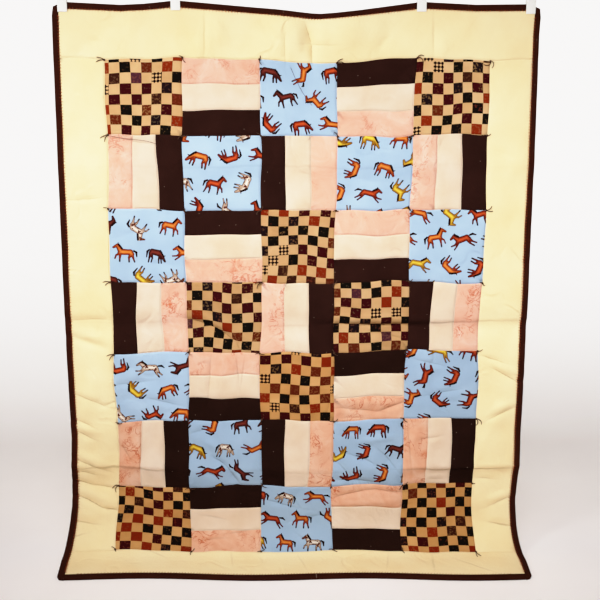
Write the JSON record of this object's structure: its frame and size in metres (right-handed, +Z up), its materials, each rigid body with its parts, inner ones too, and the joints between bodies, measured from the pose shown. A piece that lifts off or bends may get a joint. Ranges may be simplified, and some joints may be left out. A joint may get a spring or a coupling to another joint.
{
  "type": "patchwork quilt hung on clips",
  "caption": "Tied patchwork quilt of pieced squares and strips with a bound edge, hung by its top edge on clips, its foot turned forward along the floor.",
  "frame": {"origin": "middle of the hanging line: the top edge's level at the two inner clips, in the middle plane of the sheet", "axes": "+Z up, +X to the right of someone who faces the patchwork, which faces -Y"},
  "size_m": [1.2347, 0.2117, 1.4735],
  "materials": {
    "patchwork": "matte woven cotton",
    "binding": "matte woven cotton",
    "tie_thread": "twisted cotton thread",
    "clip_plastic": "satin moulded"
  },
  "bodies": {
    "root": {"quilt_body": "patchwork", "binding_top": "binding", "binding_foot": "binding", "binding_left": "binding", "binding_right": "binding", "clip_1": "clip_plastic", "clip_2": "clip_plastic", "clip_3": "clip_plastic", "clip_4": "clip_plastic", "tie_0_0": "tie_thread", "tie_0_1": "tie_thread", "tie_0_2": "tie_thread", "tie_0_3": "tie_thread", "tie_0_4": "tie_thread", "tie_0_5": "tie_thread", "tie_1_0": "tie_thread", "tie_1_1": "tie_thread", "tie_1_2": "tie_thread", "tie_1_3": "tie_thread", "tie_1_4": "tie_thread", "tie_1_5": "tie_thread", "tie_2_0": "tie_thread", "tie_2_1": "tie_thread", "tie_2_2": "tie_thread", "tie_2_3": "tie_thread", "tie_2_4": "tie_thread", "tie_2_5": "tie_thread", "tie_3_0": "tie_thread", "tie_3_1": "tie_thread", "tie_3_2": "tie_thread", "tie_3_3": "tie_thread", "tie_3_4": "tie_thread", "tie_3_5": "tie_thread", "tie_4_0": "tie_thread", "tie_4_1": "tie_thread", "tie_4_2": "tie_thread", "tie_4_3": "tie_thread", "tie_4_4": "tie_thread", "tie_4_5": "tie_thread", "tie_5_0": "tie_thread", "tie_5_1": "tie_thread", "tie_5_2": "tie_thread", "tie_5_3": "tie_thread", "tie_5_4": "tie_thread", "tie_5_5": "tie_thread", "tie_6_0": "tie_thread", "tie_6_1": "tie_thread", "tie_6_2": "tie_thread", "tie_6_3": "tie_thread", "tie_6_4": "tie_thread", "tie_6_5": "tie_thread", "tie_7_0": "tie_thread", "tie_7_1": "tie_thread", "tie_7_2": "tie_thread", "tie_7_3": "tie_thread", "tie_7_4": "tie_thread", "tie_7_5": "tie_thread"}
  },
  "joints": []
}
